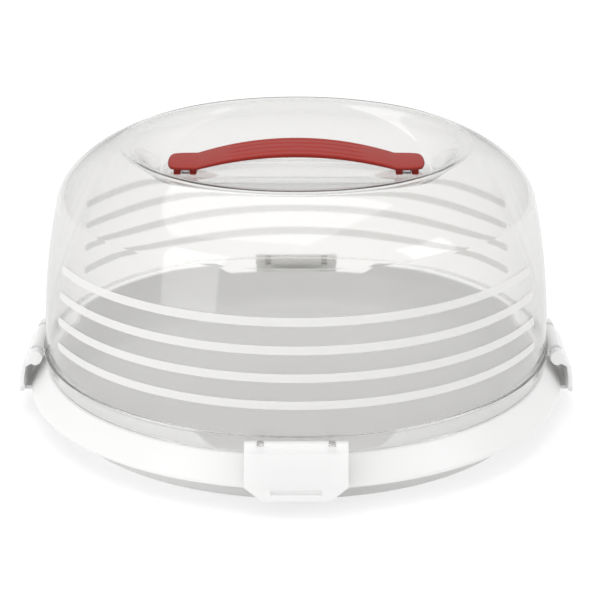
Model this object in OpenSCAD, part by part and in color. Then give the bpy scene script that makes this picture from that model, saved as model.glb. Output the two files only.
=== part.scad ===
// Round cake carrier: a white serving base, a clear domed lid with a red
// snap-on handle, and four white clips that hinge on the lid and hook under
// the skirt of the base.
// Millimetres, +Z up, origin at the centre of the foot ring on the table.

/* [Base tray] */
// How far the foot ring stands in from the tray rim
foot_in = 5; // [3:0.5:9]
// Width of the foot ring
foot_w = 4.5; // [3:0.5:7]
// Height of the underside of the serving floor
foot_h = 3.5; // [2.5:0.5:6]
// Thickness of the serving floor and of the tray wall
tray_t = 2.2; // [1.8:0.1:2.6]
// Radius of the round corner between serving floor and tray wall
tray_fillet = 14; // [8:1:18]
// Height of the shoulder that the lid stands on
shoulder_z = 31; // [28:0.5:33]
// Height of the tray rim above the shoulder
rim_h = 9.2; // [6:0.2:9.4]
// How far the lower edge of the skirt stands out from the lid's collar
skirt_out = 11; // [8:0.5:14]
// Height of the lower edge of the skirt
skirt_z = 14.6; // [13:0.2:17]
// Thickness of the skirt
skirt_t = 2; // [1.6:0.1:2.4]
// Width of each dip in the rim, along its bottom
scoop_w = 92; // [70:1:100]
// How far each end of a dip slopes out towards its top
scoop_slope = 13; // [6:1:18]
// Depth of each dip in the rim
scoop_d = 8.6; // [5:0.2:8.8]

/* [Lid] */
// Outer radius of the dome where its wall meets the flange
dome_r = 158; // [156:0.5:159]
// Height of the crest around the handle well
lid_top_z = 170.3; // [166:0.1:178]
// Lean of the wall, in millimetres per millimetre of height squared
wall_bow = 0.0012; // [0.0010:0.0001:0.0014]
// Height on the wall where the shoulder curve begins
turn_z = 137.2; // [130:0.2:139]
// Distance from the end of the well floor to the outside of the crest
crest_out = 24; // [20:1:27]
// Width of the crest
crest_w = 3; // [2:0.5:5]
// Wall thickness of the lid
lid_t = 2; // [1.6:0.1:2.4]
// Height of the collar under the flange
collar_h = 10; // [9.6:0.2:11]
// How far the collar stands in from the dome wall
collar_step = 1; // [0.5:0.1:1.5]
// How far the flange stands out from the dome wall
flange_w = 1.2; // [0.6:0.1:1.4]
// Thickness of the flange
flange_t = 1.5; // [1.2:0.1:2]

/* [Frosted bands] */
// Number of bands on each half of the dome
band_count = 4; // [2:1:4]
// Height of the lowest band, at its middle
band_low_z = 61.5; // [56:0.5:66]
// Spacing of the bands, middle to middle
band_pitch = 15.9; // [10:0.1:18]
// Height of one band
band_w = 5; // [3:0.5:7]
// How far a band stands out from the wall
band_out = 0.4; // [0.3:0.1:0.8]
// Angle that each band spans round the dome
band_angle = 130; // [90:1:134]

/* [Handle well] */
// Gap between each end of the handle and the end of its well
well_end_gap = 3; // [2:0.5:5]
// Distance from the grip to each side of the well floor
well_side_gap = 9; // [6:0.5:18]
// How far each side of the well draws in towards its ends
well_bow = 6; // [3:0.5:8]
// Depth of the well floor below the crest
well_d = 19.3; // [17:0.1:21]

/* [Handle] */
// Length of the handle
handle_l = 158; // [156:0.5:160]
// Width of the grip at its middle
grip_w = 36.6; // [32:0.2:40]
// How far each side of the end pads stands in from the grip
pad_in = 2.3; // [1:0.1:3]
// Radius of the corners of the end pads
pad_corner_r = 7; // [4:0.5:9]
// How far the end of each pad bulges out
pad_end_bow = 2.6; // [1:0.2:4]
// Thickness of the end pads
pad_t = 2.6; // [2.2:0.1:3.4]
// Thickness of the grip at its middle
grip_t = 3.2; // [2.6:0.1:4]
// Rise of the grip's top above the pads
grip_rise = 9.2; // [8:0.2:14]
// Length of the fork legs under each pad
leg_h = 4.5; // [4.2:0.1:6]
// Width of each fork, measured along the handle
fork_w = 14; // [13:0.5:15]
// Distance from each fork to the end of the handle
fork_end = 4; // [2:0.5:5]
// Depth of each fork leg, measured across the handle
leg_d = 22; // [18:0.5:26]
// Number of shallow grooves along the grip
groove_count = 4; // [1:1:4]
// Radius of the grooves
groove_r = 0.9; // [0.6:0.1:1.2]
// Distance between the grooves
groove_pitch = 8.6; // [4:0.2:9]
// Half the length of the grooves, as an angle of the grip's arc
groove_half_angle = 11; // [6:0.5:13]

/* [Handle lugs] */
// Thickness of the lug that each fork straddles
lug_t = 4.8; // [4:0.1:5.4]
// Depth of the lug across the handle
lug_d = 18; // [14:0.5:22]
// Radius of the snap pin inside each fork
snap_pin_r = 1.2; // [1:0.1:1.4]

/* [Clips] */
// Width of each clip
clip_w = 58; // [54:1:64]
// Width of the finger lip at its lower edge
lip_w = 38; // [28:1:44]
// How far the finger lip reaches below the hook
lip_drop = 0.8; // [0.5:0.1:1.6]
// Height above the skirt edge where the clip begins to narrow to its lip
neck_up = 3.8; // [3:0.2:5]
// Thickness of the clip plate
clip_t = 2.5; // [2.2:0.1:2.8]
// How far the lip flares out beyond the plate
lip_flare = 2; // [1:0.2:3]
// Radius of the hinge barrel
barrel_r = 4.5; // [4.3:0.1:4.8]
// Radius of the hinge pins moulded into the clip
hinge_pin_r = 1.5; // [1.3:0.1:1.7]
// Thickness of each hinge lug on the lid
hinge_lug_t = 3.4; // [3:0.1:4]
// Distance of each hinge lug from the middle of the clip
hinge_lug_y = 20; // [16:0.5:22]
// Thickness of the neck that carries each hinge lug
hinge_neck_t = 3.6; // [3:0.1:4]
// Angle that each clip swings open by
clip_swing = 110; // [90:1:115]
// Overlap of the hook under the skirt
hook_bite = 1.1; // [0.8:0.1:1.6]
// Height of the hook
hook_h = 2.2; // [1.8:0.1:2.4]
// Width of the hook
hook_w = 34; // [24:1:36]
// Width of the finger recess in the lip
recess_w = 29; // [20:1:32]
// Depth of the finger recess in the lip
recess_d = 0.8; // [0.4:0.1:1]

/* [Fits] */
// Gap between the collar of the lid and the rim of the tray
collar_gap = 0.5; // [0.3:0.1:0.8]
// Gap between the skirt edge and the hook below it
hook_gap = 0.6; // [0.5:0.1:0.9]
// Gap between the skirt and the inside of the clip plate
plate_gap = 2.6; // [2.2:0.1:3]
// Gap between the flange and the hinge barrel
barrel_gap = 0.8; // [0.6:0.1:1.2]
// Gap round a hinge pin in its lug
pin_gap = 0.08; // [0.05:0.01:0.1]
// Gap on each side of a hinge lug, and round its tip
lug_gap = 0.3; // [0.2:0.05:0.4]

/* [Hidden] */

// Rounder than the eye can tell on the large turns, lighter on the small ones
large_fn = 180;
small_fn = 48;
arc_fn = 1440;
// Extra depth of a cut past the surface it goes through
cut = 1;
// A reach that clears the whole part
far = 400;

// Radii and heights that follow from the sizes above
collar_r = dome_r - collar_step;
skirt_r = collar_r + skirt_out;
rim_r = collar_r - lid_t - collar_gap;
foot_r = rim_r - foot_in;
scoop_top_w = scoop_w + 2 * scoop_slope;
rim_top_z = shoulder_z + rim_h;
floor_z = foot_h + tray_t;
flange_z = shoulder_z + collar_h;
wall_z = flange_z + flange_t;
well_l = handle_l + 2 * well_end_gap;
well_w = grip_w + 2 * well_side_gap;
crest_r = well_l / 2 + crest_out;
well_z = lid_top_z - well_d;
pad_w = grip_w - 2 * pad_in;
pad_l = fork_w + fork_end;
pad_z = well_z + leg_h;
pad_top_z = pad_z + pad_t;
// The hinge barrel stays this far below the top of the flange
barrel_drop = 0.4;
hinge_x = dome_r + flange_w + barrel_gap
    + sqrt(pow(barrel_r, 2) - pow(barrel_r - flange_t + barrel_drop, 2));
hinge_z = wall_z - barrel_r - barrel_drop;
plate_x = skirt_r + plate_gap + clip_t;
hook_z = skirt_z - hook_gap;
clip_neck_z = skirt_z + neck_up;
clip_low_z = hook_z - hook_h - lip_drop;
// The clip plate leaves the barrel at the knee and is steep below the bend
knee_z = hinge_z - 6;
knee_in = 1.5;
bend_z = hinge_z - 13;
bend_in = 0.3;
// Wall of the hinge barrel outside a lug pocket
barrel_wall = 1.2;
lug_r = barrel_r - barrel_wall - lug_gap;
fork_x = handle_l / 2 - fork_w / 2 - fork_end;
// Shape of the shoulder curve and of the ends of the well, as handle lengths
shoulder_rise = 19.3;
shoulder_reach = 4;
well_end_foot = 6;
well_end_reach = 9;
well_end_drop = 3.2;
// Outward shift of the underside below the steep ends of the well
end_shift = 0.4 * lid_t;

// Points of a cubic curve from a to d with handles b and c
function curve(a, b, c, d, steps) = [for (i = [0 : steps]) let (t = i / steps, s = 1 - t)
    s * s * s * a + 3 * s * s * t * b + 3 * s * t * t * c + t * t * t * d];

// Radius of the dome wall at a height
function wall_r(z) = dome_r - wall_bow * pow(z - wall_z, 2);

// The surface of the lid from the flange to the crest, set in by a distance
function dome_side(inset) =
    let (lean = 2 * wall_bow * (turn_z - wall_z))
    concat(
        [for (i = [0 : 7]) let (z = wall_z + (turn_z - wall_z) * i / 8) [wall_r(z) - inset, z]],
        curve([wall_r(turn_z) - inset, turn_z],
              [wall_r(turn_z) - inset - shoulder_rise * lean, turn_z + shoulder_rise - inset],
              [crest_r + shoulder_reach, lid_top_z - inset], [crest_r, lid_top_z - inset], 12));

// Half section of the lid's outside, filled: collar, flange, wall and shoulder
function outer_section() =
    concat([[0, shoulder_z], [collar_r, shoulder_z], [collar_r, flange_z],
            [dome_r + flange_w, flange_z], [dome_r + flange_w, wall_z]],
           dome_side(0), [[0, lid_top_z]]);

// Half section of the lid's inside, filled
function inner_section() =
    concat([[0, shoulder_z - cut], [collar_r - lid_t, shoulder_z - cut],
            [collar_r - lid_t, flange_z]],
           dome_side(lid_t), [[0, lid_top_z - lid_t]]);

// Half section of the well's ends, from the floor up through the crest, moved out
function well_end_section(out) =
    let (floor_x = well_l / 2 + out, rim_x = crest_r - crest_w + out)
    concat([[0, well_z]],
           curve([floor_x, well_z], [floor_x + well_end_foot, well_z],
                 [rim_x - well_end_reach, lid_top_z - well_end_drop], [rim_x, lid_top_z], 10),
           [[rim_x + well_end_reach, lid_top_z + well_end_drop],
            [0, lid_top_z + well_end_drop]]);

// Runs its children at the azimuth of each clip
module at_clips() {
    for (a = [0 : 90 : 270]) rotate([0, 0, a]) children();
}

// A flat outline in the radial plane, stood up and given a width
module radial_slab(width) {
    rotate([90, 0, 0]) linear_extrude(width, center = true) children();
}

// Half section of the tray: foot ring, floor, rounded corner, wall and shoulder
module tray_section() {
    wall_foot_r = foot_r + 0.5;
    corner_r = wall_foot_r - tray_t - tray_fillet;
    translate([foot_r - foot_w, 0]) square([foot_w, foot_h + tray_t]);
    translate([0, foot_h]) square([corner_r + cut, tray_t]);
    polygon([[corner_r, foot_h], [foot_r - 1, foot_h], [wall_foot_r, foot_h + 2],
             [rim_r, shoulder_z], [rim_r, rim_top_z], [rim_r - tray_t, rim_top_z],
             [rim_r - tray_t, shoulder_z], [wall_foot_r - tray_t, floor_z + tray_fillet],
             [wall_foot_r - tray_t, floor_z], [corner_r, floor_z]]);
    difference() {
        translate([corner_r, floor_z]) square([tray_fillet + tray_t / 2, tray_fillet]);
        translate([corner_r, floor_z + tray_fillet]) circle(r = tray_fillet, $fn = small_fn);
    }
}

// Half section of the shoulder and the skirt that hangs from it
module skirt_section() {
    shoulder_r = collar_r + 0.8;
    polygon([[rim_r - 0.5, shoulder_z], [shoulder_r, shoulder_z], [shoulder_r + 1, shoulder_z - 0.6],
             [skirt_r, skirt_z + 2.2], [skirt_r, skirt_z], [skirt_r - skirt_t, skirt_z],
             [skirt_r - skirt_t, skirt_z + 1.8], [shoulder_r - 0.4, shoulder_z - skirt_t - 0.4],
             [rim_r - 0.5, shoulder_z - skirt_t - 0.4]]);
}

// Serving base with its raised rim and outer skirt
module base_tray() {
    color("white") difference() {
        union() {
            rotate_extrude($fn = large_fn) tray_section();
            rotate_extrude($fn = large_fn) skirt_section();
        }
        at_clips() rotate([0, 0, 90]) rotate([90, 0, 0])
            translate([0, 0, -rim_r - cut])
                linear_extrude(rim_r * 0.2)
                    polygon([[-scoop_top_w / 2, rim_top_z + cut], [-scoop_top_w / 2, rim_top_z],
                             [-scoop_w / 2, rim_top_z - scoop_d],
                             [scoop_w / 2, rim_top_z - scoop_d],
                             [scoop_top_w / 2, rim_top_z], [scoop_top_w / 2, rim_top_z + cut]]);
    }
}

// The room of the well above its surface: a turned bowl with a flat floor, between two
// long sides that slope up to the crest. It is moved out and down by a wall's thickness.
module well(out, down) {
    arc_r = (pow(well_l / 2, 2) + pow(well_bow, 2)) / (2 * well_bow);
    side_run = (crest_r - crest_w - well_w / 2) / well_d;
    side_h = well_d + well_end_drop;
    translate([0, 0, -down]) intersection() {
        rotate_extrude($fn = large_fn) polygon(well_end_section(out));
        translate([0, arc_r - well_w / 2, well_z])
            cylinder(r1 = arc_r, r2 = arc_r + side_h * side_run, h = side_h, $fn = arc_fn);
        translate([0, well_w / 2 - arc_r, well_z])
            cylinder(r1 = arc_r, r2 = arc_r + side_h * side_run, h = side_h, $fn = arc_fn);
    }
}

// One raised frosted band that follows the wall
module band(z) {
    low = z - band_w / 2;
    high = z + band_w / 2;
    rotate([0, 0, -band_angle / 2]) rotate_extrude(angle = band_angle, $fn = large_fn)
        polygon([[wall_r(low) - lid_t / 2, low], [wall_r(low) + band_out, low],
                 [wall_r(high) + band_out, high], [wall_r(high) - lid_t / 2, high]]);
}

// One hinge lug that carries a pin of the clip, with its snap-in slot below
module hinge_lug() {
    root_x = sqrt(pow(collar_r - lid_t / 2, 2) - pow(hinge_lug_y, 2));
    slot_w = hinge_pin_r * 1.6;
    difference() {
        radial_slab(hinge_lug_t) union() {
            translate([hinge_x, hinge_z]) circle(r = lug_r, $fn = small_fn);
            translate([root_x, hinge_z - hinge_neck_t / 2])
                square([hinge_x - root_x, hinge_neck_t]);
        }
        translate([hinge_x, 0, hinge_z]) rotate([90, 0, 0])
            cylinder(r = hinge_pin_r + pin_gap, h = hinge_lug_t + 2 * cut, center = true,
                     $fn = small_fn);
        translate([hinge_x - slot_w / 2, -hinge_lug_t, hinge_z - barrel_r])
            cube([slot_w, 2 * hinge_lug_t, barrel_r]);
    }
}

// Lug on the well floor that one fork of the handle snaps over
module handle_lug() {
    difference() {
        translate([fork_x - lug_t / 2, -lug_d / 2, well_z - lid_t / 2])
            cube([lug_t, lug_d, leg_h + lid_t / 2]);
        translate([fork_x, 0, well_z + leg_h / 2]) rotate([0, 90, 0])
            cylinder(r = snap_pin_r + pin_gap, h = lug_t + 2 * cut, center = true, $fn = small_fn);
    }
}

// Clear domed lid: collar, flange, wall, crest, well, bands and lugs
module lid_dome() {
    color([0.86, 0.88, 0.88, 0.6]) {
        difference() {
            rotate_extrude($fn = large_fn) polygon(outer_section());
            well(0, 0);
            difference() {
                rotate_extrude($fn = large_fn) polygon(inner_section());
                well(end_shift, lid_t);
            }
        }
        for (side = [-90, 90]) rotate([0, 0, side])
            for (i = [0 : band_count - 1]) band(band_low_z + i * band_pitch);
        at_clips() for (side = [-1, 1]) translate([0, side * hinge_lug_y, 0]) hinge_lug();
        for (turn = [0, 180]) rotate([0, 0, turn]) handle_lug();
    }
}

// Side view of the handle: two flat pads joined by the arched grip
module handle_side() {
    arch = handle_l / 2 - pad_l;
    top_arc = (pow(arch, 2) + pow(grip_rise, 2)) / (2 * grip_rise);
    low_rise = grip_rise + pad_t - grip_t;
    low_arc = (pow(arch, 2) + pow(low_rise, 2)) / (2 * low_rise);
    difference() {
        union() {
            translate([-handle_l / 2, pad_z]) square([handle_l, pad_t]);
            intersection() {
                translate([0, pad_top_z + grip_rise - top_arc]) circle(r = top_arc, $fn = arc_fn);
                translate([-arch, pad_z]) square([2 * arch, far]);
            }
        }
        intersection() {
            translate([0, pad_z + low_rise - low_arc]) circle(r = low_arc, $fn = arc_fn);
            translate([-arch, pad_z - cut]) square([2 * arch, far]);
        }
    }
}

// Plan view of the handle: wide in the grip, narrower at the rounded pads
module handle_plan() {
    half = handle_l / 2;
    side_r = (pow(half, 2) + pow(pad_in, 2)) / (2 * pad_in);
    end_r = (pow(pad_w / 2, 2) + pow(pad_end_bow, 2)) / (2 * pad_end_bow);
    intersection() {
        union() {
            square([handle_l - 2 * pad_corner_r, grip_w], center = true);
            square([handle_l, pad_w - 2 * pad_corner_r], center = true);
            for (sx = [-1, 1], sy = [-1, 1])
                translate([sx * (half - pad_corner_r), sy * (pad_w / 2 - pad_corner_r)])
                    circle(r = pad_corner_r, $fn = small_fn);
        }
        translate([0, side_r - grip_w / 2]) circle(r = side_r, $fn = arc_fn);
        translate([0, grip_w / 2 - side_r]) circle(r = side_r, $fn = arc_fn);
        union() {
            translate([half - end_r, 0]) circle(r = end_r, $fn = large_fn);
            translate([end_r - half, 0]) circle(r = end_r, $fn = large_fn);
        }
    }
}

// One fork under a pad, with the snap pin between its legs
module fork() {
    difference() {
        translate([fork_x - fork_w / 2, -leg_d / 2, well_z]) cube([fork_w, leg_d, leg_h + 0.5]);
        translate([fork_x - lug_t / 2 - lug_gap, -leg_d / 2 - cut, well_z - cut])
            cube([lug_t + 2 * lug_gap, leg_d + 2 * cut, leg_h + cut]);
    }
    translate([fork_x, 0, well_z + leg_h / 2]) rotate([0, 90, 0])
        cylinder(r = snap_pin_r, h = fork_w - 2, center = true, $fn = small_fn);
}

// Arched carrying handle with its two forks and grooved grip
module handle() {
    arch = handle_l / 2 - pad_l;
    top_arc = (pow(arch, 2) + pow(grip_rise, 2)) / (2 * grip_rise);
    color("firebrick") {
        difference() {
            intersection() {
                rotate([90, 0, 0]) linear_extrude(grip_w + 2, center = true) handle_side();
                translate([0, 0, pad_z]) linear_extrude(far) handle_plan();
            }
            for (i = [0 : groove_count - 1])
                translate([0, (i - (groove_count - 1) / 2) * groove_pitch,
                           pad_top_z + grip_rise - top_arc])
                    rotate([90, 0, 0]) rotate([0, 0, 90 - groove_half_angle])
                        rotate_extrude(angle = 2 * groove_half_angle, $fn = arc_fn)
                            translate([top_arc + groove_r * 0.3, 0])
                                circle(r = groove_r, $fn = 16);
        }
        for (turn = [0, 180]) rotate([0, 0, turn]) fork();
    }
}

// Side section of a clip, from the hinge barrel down to the finger lip
module clip_section() {
    lip_x = plate_x + lip_flare;
    polygon([[hinge_x + barrel_r * 0.5, hinge_z + barrel_r * 0.86],
             [hinge_x + barrel_r, hinge_z - 0.5],
             [plate_x - knee_in, knee_z], [plate_x - bend_in, bend_z], [plate_x, clip_neck_z],
             [lip_x, clip_low_z], [lip_x - clip_t, clip_low_z],
             [plate_x - clip_t, clip_neck_z - 3], [plate_x - clip_t, clip_neck_z],
             [plate_x - clip_t - bend_in, bend_z], [plate_x - clip_t - knee_in, knee_z],
             [hinge_x + barrel_r - clip_t, hinge_z - barrel_r * 0.8], [hinge_x, hinge_z - barrel_r],
             [hinge_x, hinge_z]]);
    translate([hinge_x, hinge_z]) circle(r = barrel_r, $fn = small_fn);
}

// Side section of the hook that reaches in under the skirt
module hook_section() {
    polygon([[plate_x - 1, hook_z], [skirt_r - hook_bite, hook_z],
             [skirt_r - hook_bite, hook_z - hook_h * 0.5],
             [skirt_r - hook_bite + 1.2, hook_z - hook_h], [plate_x - 0.5, hook_z - hook_h]]);
}

// Front view of a clip: straight sides that narrow to the finger lip
module clip_front_view() {
    polygon([[-clip_w / 2, hinge_z + 2 * barrel_r], [clip_w / 2, hinge_z + 2 * barrel_r],
             [clip_w / 2, clip_neck_z], [lip_w / 2, clip_low_z],
             [-lip_w / 2, clip_low_z], [-clip_w / 2, clip_neck_z]]);
}

// The room that a clip leaves for one hinge lug through its whole swing
module lug_pocket() {
    pocket_w = hinge_lug_t + 2 * lug_gap;
    pocket_r = barrel_r - barrel_wall;
    neck_room = hinge_neck_t + 2 * lug_gap;
    translate([hinge_x, 0, hinge_z]) rotate([90, 0, 0])
        linear_extrude(pocket_w, center = true) {
            circle(r = pocket_r, $fn = small_fn);
            translate([-far / 8, -barrel_r - cut]) square([far / 8, 2 * (barrel_r + cut)]);
            rotate(-clip_swing) translate([-2 * barrel_r, -neck_room / 2])
                square([2 * barrel_r, neck_room]);
        }
}

// One clip, hinged at the right-hand side of the carrier
module clip() {
    color("whitesmoke") {
        difference() {
            union() {
                intersection() {
                    radial_slab(clip_w) clip_section();
                    rotate([90, 0, 90]) linear_extrude(far) clip_front_view();
                }
                radial_slab(hook_w) hook_section();
            }
            for (side = [-1, 1]) translate([0, side * hinge_lug_y, 0]) lug_pocket();
            translate([plate_x + lip_flare * 0.5, 0, (clip_neck_z + clip_low_z) / 2 + 1])
                cube([2 * recess_d + lip_flare * 0.6, recess_w, 3], center = true);
        }
        translate([hinge_x, 0, hinge_z]) rotate([90, 0, 0])
            cylinder(r = hinge_pin_r, h = 2 * hinge_lug_y + hinge_lug_t + 4, center = true,
                     $fn = small_fn);
    }
}

module clip_right() { clip(); }
module clip_back() { rotate([0, 0, 90]) clip(); }
module clip_left() { rotate([0, 0, 180]) clip(); }
module clip_front() { rotate([0, 0, 270]) clip(); }

base_tray();
lid_dome();
handle();
clip_front();
clip_right();
clip_back();
clip_left();
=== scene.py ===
# Round cake carrier: a white tray, a clear domed lid with frosted bands and a
# red carrying handle, and four white clips. Metres, +Z up, -Y to the front.
import math

import bmesh
import bpy
import numpy as np
from bpy.props import FloatProperty, FloatVectorProperty, IntProperty, PointerProperty
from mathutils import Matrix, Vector


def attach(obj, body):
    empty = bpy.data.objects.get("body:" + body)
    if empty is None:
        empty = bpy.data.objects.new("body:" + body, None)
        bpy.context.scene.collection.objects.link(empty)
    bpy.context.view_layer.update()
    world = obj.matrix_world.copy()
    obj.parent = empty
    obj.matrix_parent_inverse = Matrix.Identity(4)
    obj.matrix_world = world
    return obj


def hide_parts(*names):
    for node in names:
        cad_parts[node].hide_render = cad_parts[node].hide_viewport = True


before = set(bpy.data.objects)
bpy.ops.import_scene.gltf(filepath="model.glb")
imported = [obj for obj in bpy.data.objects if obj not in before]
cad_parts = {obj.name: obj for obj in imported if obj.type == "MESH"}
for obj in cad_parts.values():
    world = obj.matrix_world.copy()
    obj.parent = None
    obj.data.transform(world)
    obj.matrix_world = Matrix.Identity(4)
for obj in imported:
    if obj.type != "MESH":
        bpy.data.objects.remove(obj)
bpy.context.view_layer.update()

bl_info = {
    "name": "Cake carrier",
    "version": (1, 0, 0),
    "blender": (4, 5, 0),
    "location": "3D View > Sidebar > Cake carrier",
    "description": "Builds a round cake carrier with a clear lid, a red handle and four clips",
    "category": "Object",
}

CLIPS = ("right", "back", "left", "front")


# Sizes and colours that a user would change

def length(name, description, default):
    """A length in metres."""
    return FloatProperty(name=name, description=description, default=default, unit="LENGTH",
                         precision=4, step=0.01)


def colour(name, description, default):
    """A colour in linear red, green and blue."""
    return FloatVectorProperty(name=name, description=description, default=default,
                               subtype="COLOR", min=0.0, max=1.0)


def share(name, description, default):
    """A share from 0 to 1."""
    return FloatProperty(name=name, description=description, default=default, subtype="FACTOR",
                         min=0.0, max=1.0)


class CakeCarrierTraySizes(bpy.types.PropertyGroup):
    """Sizes of the white tray."""
    floor_z: length("Floor height", "Top of the serving floor", 0.0057)
    under_z: length("Underside height", "Underside of the serving floor", 0.0035)
    corner: length("Inner corner", "Radius between the floor and the wall", 0.015)
    foot_radius: length("Foot radius", "Outer radius of the foot ring", 0.1495)
    foot_width: length("Foot width", "Width of the foot ring", 0.0045)
    rim_radius: length("Rim radius", "Outer radius of the raised rim", 0.1545)
    wall: length("Wall", "Thickness of the tray wall", 0.0022)
    shoulder_z: length("Shoulder height", "Ledge that carries the lid", 0.031)
    rim_height: length("Rim height", "Height of the rim above the ledge", 0.0092)
    ledge_radius: length("Ledge radius", "Outer radius of the ledge", 0.1584)
    skirt_radius: length("Skirt radius", "Outer radius of the skirt", 0.168)
    skirt_z: length("Skirt height", "Height of the skirt's lower edge", 0.0146)
    skirt_wall: length("Skirt wall", "Thickness of the skirt", 0.002)
    skirt_lip: length("Skirt lip", "Height of the skirt's upright lower edge", 0.0022)
    lip_inside: length("Skirt lip inside", "Height of that edge on the inside", 0.0018)
    ledge_wall: length("Ledge wall", "Thickness of the ledge", 0.0024)
    dip_width: length("Dip width", "Width of each dip in the rim, along its bottom", 0.092)
    dip_slope: length("Dip slope", "Width of the slope at each end of a dip", 0.013)
    dip_depth: length("Dip depth", "Depth of each dip in the rim", 0.0086)


class CakeCarrierLidSizes(bpy.types.PropertyGroup):
    """Sizes of the clear lid."""
    wall_radius: length("Wall radius", "Outer radius where the wall meets the flange", 0.158)
    wall_z: length("Wall foot", "Height where the wall begins", 0.0425)
    turn_z: length("Turn height", "Height where the shoulder curve begins", 0.1372)
    top_z: length("Top height", "Height of the crest around the handle well", 0.1703)
    crest_radius: length("Crest radius", "Radius of the outside of the crest", 0.106)
    crest_width: length("Crest width", "Width of the crest", 0.003)
    shoulder_rise: length("Shoulder rise", "Pull of the shoulder curve up the wall", 0.0193)
    shoulder_reach: length("Shoulder reach", "Pull of the shoulder curve along the top", 0.004)
    bow: FloatProperty(name="Wall bow", description="Inward lean per metre of height squared",
                       default=1.2)
    wall: length("Wall", "Thickness of the lid", 0.002)
    well_length: length("Well length", "Length of the well's floor", 0.164)
    well_width: length("Well width", "Width of the well's floor at its middle", 0.0546)
    well_bow: length("Well bow", "How far each side draws in towards its ends", 0.006)
    well_z: length("Well floor", "Height of the well floor", 0.151)
    end_foot: length("Well end foot", "Flat start of the curve at each end", 0.006)
    end_reach: length("Well end reach", "Last stretch of that curve, along the top", 0.009)
    end_drop: length("Well end drop", "Last stretch of that curve, in height", 0.0032)
    flange_out: length("Flange", "How far the flange stands out from the wall", 0.0012)
    flange_z: length("Flange height", "Underside of the flange", 0.041)
    collar_in: length("Collar step", "How far the collar stands in from the wall", 0.001)
    foot_z: length("Collar foot", "Lower edge of the collar", 0.03105)
    band_count: IntProperty(name="Bands", description="Frosted bands on each half", default=4)
    band_z: length("Lowest band", "Height of the lowest band", 0.0615)
    band_pitch: length("Band spacing", "Distance between the bands", 0.0159)
    band_height: length("Band height", "Height of one band", 0.005)
    band_out: length("Band relief", "How far a band stands out", 0.0004)
    band_gap: length("Band gap", "Gap between a band and the wall", 0.00003)
    band_angle: FloatProperty(name="Band angle", description="Angle that a band spans",
                              default=math.radians(130), subtype="ANGLE")


class CakeCarrierHandleSizes(bpy.types.PropertyGroup):
    """Sizes of the handle and of the lugs that carry it."""
    span: length("Length", "Length of the handle", 0.158)
    grip_width: length("Grip width", "Width of the grip at its middle", 0.0366)
    pad_in: length("Pad step", "How far each side of the pads stands in", 0.0023)
    pad_corner: length("Pad corner", "Radius of the pad corners", 0.007)
    pad_bow: length("Pad bow", "How far the end of a pad bulges", 0.0026)
    pad_length: length("Pad length", "Length of each flat pad", 0.018)
    pad_z: length("Pad underside", "Height of the underside of the pads", 0.1555)
    pad_thick: length("Pad thickness", "Thickness of the pads", 0.0026)
    grip_thick: length("Grip thickness", "Thickness of the grip at its middle", 0.0032)
    rise: length("Grip rise", "Rise of the grip above the pads", 0.0092)
    groove_count: IntProperty(name="Grooves", description="Grooves along the grip", default=4)
    groove_pitch: length("Groove spacing", "Distance between the grooves", 0.0086)
    groove_depth: length("Groove depth", "Depth of the grooves", 0.0006)
    groove_length: length("Groove length", "Half the length of the grooves", 0.040)
    fork_x: length("Fork place", "Distance of each fork from the middle", 0.068)
    fork_width: length("Fork width", "Width of each fork along the handle", 0.014)
    fork_depth: length("Fork depth", "Depth of each fork across the handle", 0.022)
    lug_width: length("Lug width", "Thickness of the lug in each fork", 0.0048)
    lug_depth: length("Lug depth", "Depth of the lug in each fork", 0.018)
    pin_radius: length("Snap pin radius", "Radius of the snap pin", 0.0012)
    gap: length("Fork gap", "Gap between a lug and its fork", 0.0003)


class CakeCarrierHingeSizes(bpy.types.PropertyGroup):
    """Sizes of the lid's hinge lugs."""
    axis_radius: length("Hinge radius", "Distance of each hinge axis from the middle", 0.162948)
    axis_z: length("Hinge height", "Height of the hinge axes", 0.0376)
    lug_place: length("Lug place", "Distance of each lug from the middle of its clip", 0.020)
    lug_thick: length("Lug thickness", "Thickness of a hinge lug", 0.0034)
    lug_radius: length("Lug radius", "Radius of the lug's round end", 0.003)
    neck: length("Neck", "Thickness of the neck that carries a lug", 0.0036)
    bore: length("Bore", "Radius of the bore for the hinge pin", 0.00158)


class CakeCarrierColours(bpy.types.PropertyGroup):
    """Colours of the plastics and levels of the studio."""
    white: colour("White plastic", "Tray and clips", (0.92, 0.92, 0.913))
    red: colour("Red plastic", "Handle", (0.37, 0.024, 0.016))
    clear: colour("Clear plastic", "Lid, seen straight on", (0.952, 0.948, 0.940))
    # Painted shade: the lid's colour where it is seen along its surface, darker at its foot,
    # stands in for its dark rim lines.
    clear_edge_painted_shade: colour("Clear plastic edge", "Shoulder, seen along its surface",
                       (0.78, 0.78, 0.77))
    clear_foot_painted_shade: colour("Clear plastic foot", "Foot of the lid, seen along its surface",
                      (0.50, 0.50, 0.49))
    frost: colour("Frosted bands", "Frosted bands on the lid", (0.95, 0.945, 0.935))
    front_cover: share("Front cover", "How much the frosted bands in front hide", 0.70)
    # Painted light: the back bands hide less, to stand in for light that comes through them from
    # behind.
    painted_backlight_cover: share("Back cover", "How much the frosted bands at the back hide", 0.25)
    lid_shade: share("Lid shade", "Light that passes each face of the lid", 0.81)
    collar_shade: share("Collar shade", "Light that passes each face of the collar", 0.95)
    floor: colour("Floor", "Studio floor, as it is seen", (0.47, 0.47, 0.47))
    floor_bounce: colour("Floor bounce", "Studio floor, as it lights the object",
                         (0.95, 0.95, 0.95))
    floor_glow: share("Floor glow", "Light that the seen floor adds of its own", 0.62)
    sky_light: share("Sky light", "Level of the studio's soft light", 0.74)
    sky_mirror: share("Sky mirror", "Level of the studio in reflections", 0.62)


# Shapes

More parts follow.
